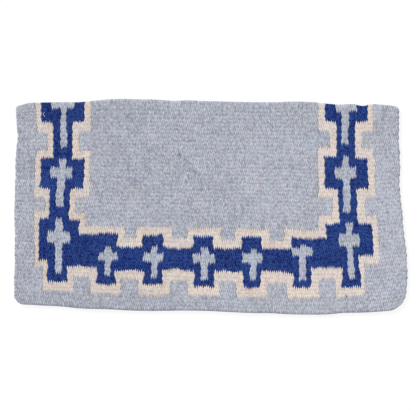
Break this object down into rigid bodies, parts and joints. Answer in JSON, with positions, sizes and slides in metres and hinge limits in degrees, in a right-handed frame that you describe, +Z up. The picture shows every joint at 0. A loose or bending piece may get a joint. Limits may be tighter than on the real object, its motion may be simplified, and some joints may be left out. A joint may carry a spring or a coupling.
{
  "type": "saddle blanket",
  "caption": "Woven wool saddle blanket folded in half over its spine, with a stepped blue band, cream outlines and crosses; the front leaf opens over to lie flat.",
  "frame": {"origin": "centre of the folded blanket's footprint, on the surface that it lies on", "axes": "+X along the spine to the right as the picture shows it, +Y from the hems towards the folded spine, +Z up from the lower leaf to the upper leaf"},
  "size_m": [0.875, 0.472, 0.015],
  "materials": {
    "grey_blue_wool": "matte",
    "blue_wool": "matte",
    "cream_wool": "matte",
    "grey_wool": "matte"
  },
  "bodies": {
    "back_leaf": {"back_margin": "grey_blue_wool", "back_outer_outline": "cream_wool", "back_inner_outline": "cream_wool", "back_field": "grey_blue_wool", "back_blue_band": "blue_wool", "back_cross_left_fold": "grey_wool", "back_cross_right_fold": "grey_wool", "back_cross_left_middle": "grey_wool", "back_cross_left_corner": "grey_wool", "back_cross_right_middle": "grey_wool", "back_cross_right_corner": "grey_wool", "back_cross_row_1": "grey_wool", "back_cross_row_2": "grey_wool", "back_cross_row_3": "grey_wool", "back_cross_row_4": "grey_wool", "back_cross_row_5": "grey_wool"},
    "spine": {"spine_left_margin": "grey_blue_wool", "spine_field": "grey_blue_wool", "spine_right_margin": "grey_blue_wool", "spine_left_cross_arms": "grey_wool", "spine_left_blue_outer": "blue_wool", "spine_left_blue_inner": "blue_wool", "spine_left_outer_outline": "cream_wool", "spine_left_inner_outline": "cream_wool", "spine_right_cross_arms": "grey_wool", "spine_right_blue_outer": "blue_wool", "spine_right_blue_inner": "blue_wool", "spine_right_outer_outline": "cream_wool", "spine_right_inner_outline": "cream_wool"},
    "front_leaf": {"front_margin": "grey_blue_wool", "front_outer_outline": "cream_wool", "front_inner_outline": "cream_wool", "front_field": "grey_blue_wool", "front_blue_band": "blue_wool", "front_cross_left_fold": "grey_wool", "front_cross_right_fold": "grey_wool", "front_cross_left_middle": "grey_wool", "front_cross_left_corner": "grey_wool", "front_cross_right_middle": "grey_wool", "front_cross_right_corner": "grey_wool", "front_cross_row_1": "grey_wool", "front_cross_row_2": "grey_wool", "front_cross_row_3": "grey_wool", "front_cross_row_4": "grey_wool", "front_cross_row_5": "grey_wool"}
  },
  "joints": [
    {"name": "spine_turn", "type": "hinge", "parent": "back_leaf", "child": "spine", "pos_m": [0, 0.23034, 0.0022], "axis": [-1, 0.0084, 0], "range_deg": [0, 90]},
    {"name": "front_leaf_turn", "type": "hinge", "parent": "spine", "child": "front_leaf", "pos_m": [0, 0.23034, 0.0128], "axis": [-1, 0.0084, 0], "range_deg": [0, 90]}
  ],
  "couplings": [
    {"joint": "front_leaf_turn", "follows": "spine_turn", "ratio": 1}
  ]
}
